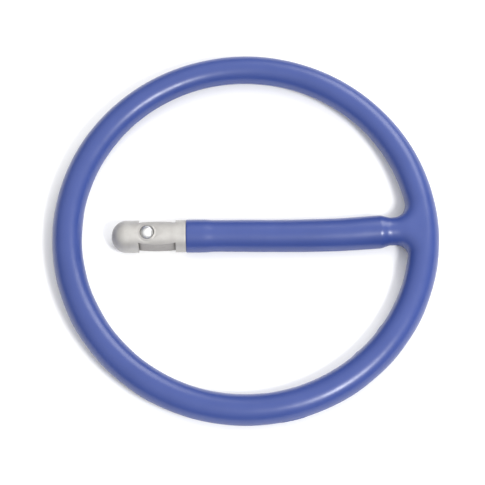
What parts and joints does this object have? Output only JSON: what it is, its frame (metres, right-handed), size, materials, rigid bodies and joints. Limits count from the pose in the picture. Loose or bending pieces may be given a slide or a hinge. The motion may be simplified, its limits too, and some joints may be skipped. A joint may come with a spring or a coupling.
{
  "type": "socket retaining ring",
  "caption": "Round elastomer retaining ring with an inward stem that bends at its neck and ends in a metal locking pin with a sprung detent ball.",
  "frame": {"origin": "centre of the ring on its mid-plane", "axes": "+X from the pin's tip to the stem's root, +Z along the ring's axis on the side where the detent ball looks out"},
  "size_m": [0.0762, 0.0762, 0.0069],
  "materials": {
    "blue_elastomer": "smooth moulded satin",
    "pin_metal": "tumbled satin",
    "ball_steel": "polished",
    "spring_steel": "drawn wire"
  },
  "bodies": {
    "ring": {"retaining_ring": "blue_elastomer"},
    "pin": {"flex_neck": "blue_elastomer", "pin_sleeve": "blue_elastomer", "core_pin": "pin_metal", "detent_spring": "spring_steel"},
    "ball": {"detent_ball": "ball_steel"}
  },
  "joints": [
    {"name": "neck_flex", "type": "hinge", "parent": "ring", "child": "pin", "pos_m": [0.0292, 0, 0], "axis": [0, 1, 0], "range_deg": [-75, 75], "stiffness_Nm_per_rad": 0.2},
    {"name": "ball_travel", "type": "slide", "parent": "pin", "child": "ball", "axis": [0, 0, -1], "range_m": [0, 0.0004], "stiffness_N_per_m": 500, "deforming": ["detent_spring"]}
  ]
}
